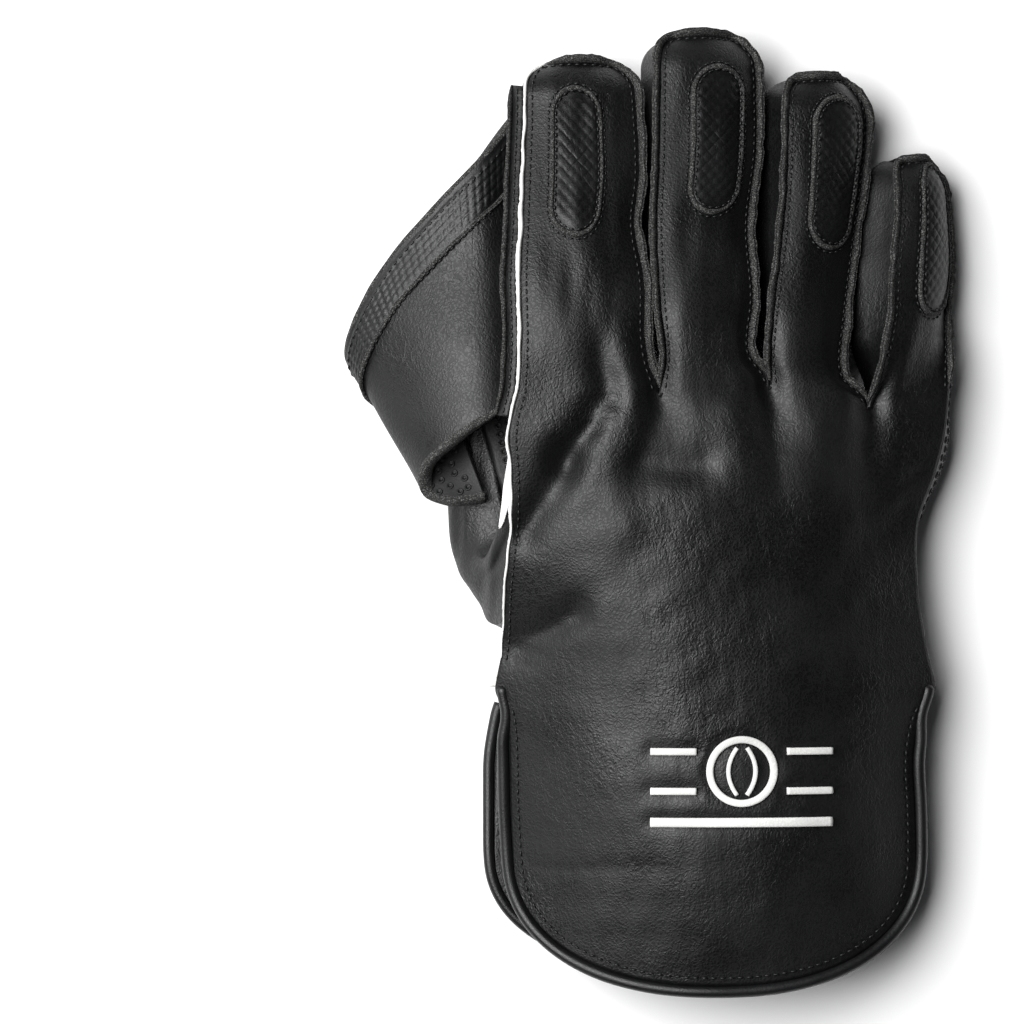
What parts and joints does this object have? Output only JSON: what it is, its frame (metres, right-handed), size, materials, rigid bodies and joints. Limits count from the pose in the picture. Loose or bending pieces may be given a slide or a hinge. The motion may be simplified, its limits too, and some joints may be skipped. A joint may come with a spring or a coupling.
{
  "type": "wicketkeeping glove",
  "caption": "Right-hand wicketkeeping glove in black leather with a ring-pimpled rubber palm, rolled finger stalls, a catching web and a long two-part cuff.",
  "frame": {"origin": "middle of the flat heel of the palm, on the face that the glove lies on", "axes": "+Y along the fingers, +Z out of the back of the hand, +X towards the little finger"},
  "size_m": [0.1923, 0.3046, 0.0573],
  "materials": {
    "black_leather": "soft black leather with a fine pebble grain and a low sheen",
    "pimple_rubber": "matte black rubber with small raised rings",
    "white_leather": "smooth white leather",
    "embossed_leather": "black leather embossed with a small basket weave",
    "raw_edge": "raw cut leather edge, suede grey-black",
    "piping": "smooth black rolled piping"
  },
  "bodies": {
    "root": {"back_leather": "black_leather", "palm_rubber": "pimple_rubber", "index_side_wall": "black_leather", "little_side_wall": "black_leather", "gusset_index_middle": "black_leather", "gusset_middle_ring": "black_leather", "gusset_ring_little": "black_leather", "wrist_panel": "white_leather", "thumb_leather": "black_leather", "thumb_rubber": "pimple_rubber", "white_welt": "white_leather", "back_piping": "piping", "flap_piping": "piping", "cuff_flap": "black_leather", "cuff_band": "black_leather", "web_leather": "black_leather", "web_edge_strip": "embossed_leather", "web_rubber": "pimple_rubber", "emblem_ring": "white_leather", "emblem_base": "white_leather", "outseam_index": "raw_edge", "index_pad_rim": "raw_edge", "index_pad": "embossed_leather", "outseam_middle": "raw_edge", "middle_pad_rim": "raw_edge", "middle_pad": "embossed_leather", "outseam_ring": "raw_edge", "ring_pad_rim": "raw_edge", "ring_pad": "embossed_leather", "outseam_little": "raw_edge", "little_pad_rim": "raw_edge", "little_pad": "embossed_leather", "cuff_channel_1": "black_leather", "cuff_channel_2": "black_leather", "cuff_channel_3": "black_leather", "cuff_channel_4": "black_leather", "cuff_channel_5": "black_leather", "cuff_channel_6": "black_leather", "cuff_channel_7": "black_leather", "cuff_channel_8": "black_leather", "emblem_bar_1": "white_leather", "emblem_bar_2": "white_leather", "emblem_bar_3": "white_leather", "emblem_bar_4": "white_leather", "emblem_seam_1": "white_leather", "emblem_seam_2": "white_leather"}
  },
  "joints": []
}
